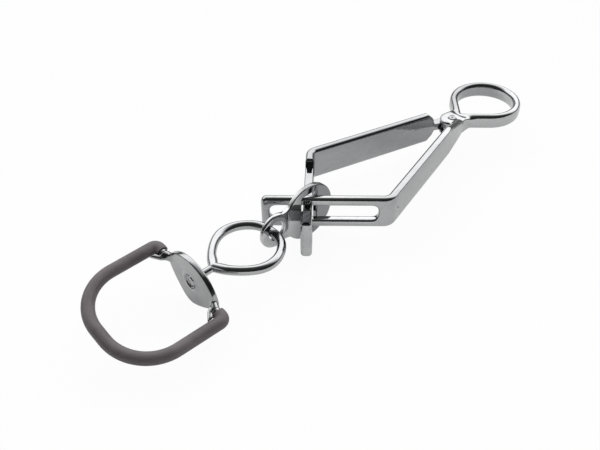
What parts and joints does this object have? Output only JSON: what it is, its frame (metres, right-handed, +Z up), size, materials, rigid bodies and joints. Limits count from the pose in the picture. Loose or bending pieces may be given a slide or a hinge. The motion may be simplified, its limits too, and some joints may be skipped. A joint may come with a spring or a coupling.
{
  "type": "hand grip strengthener",
  "caption": "Two crossing steel arms pinned at a ring eye; squeezing them draws a slide plate along their tails, with a link and a swivel stirrup handle to pull against.",
  "frame": {"origin": "centre of the ring eye's hole, at the middle of the bar's height", "axes": "+X from the ring eye along the pull line to the handle, +Y towards the ring arm's bend, +Z up along the pivot pin"},
  "size_m": [0.513, 0.107, 0.0548],
  "materials": {
    "chrome": "polished",
    "grip": "satin dipped coating"
  },
  "bodies": {
    "ring_arm": {"ring_arm": "chrome", "pivot_pin": "chrome"},
    "back_arm": {"back_arm": "chrome"},
    "slide_plate": {"slide_plate": "chrome"},
    "link": {"link_wire": "chrome", "swivel_stem": "chrome"},
    "handle": {"handle_plate": "chrome", "handle_bow": "chrome", "grip_coating": "grip"}
  },
  "joints": [
    {"name": "neck_hinge", "type": "hinge", "parent": "ring_arm", "child": "back_arm", "pos_m": [0.0565, 0, 0], "axis": [0, 0, 1], "range_deg": [-2, 15]},
    {"name": "plate_slide", "type": "slide", "parent": "ring_arm", "child": "slide_plate", "axis": [0.7133, -0.7009, 0], "range_m": [-0.037, 0.0055]},
    {"name": "link_swing", "type": "hinge", "parent": "slide_plate", "child": "link", "pos_m": [0.30202, 0, 0], "axis": [0, 1, 0], "range_deg": [-75, 75]},
    {"name": "handle_swivel", "type": "hinge", "parent": "link", "child": "handle", "pos_m": [0.38828, 0, 0], "axis": [1, 0, 0], "continuous": true}
  ],
  "couplings": [
    {"joint": "plate_slide", "follows": "neck_hinge", "m_per_rad": -0.1385}
  ]
}
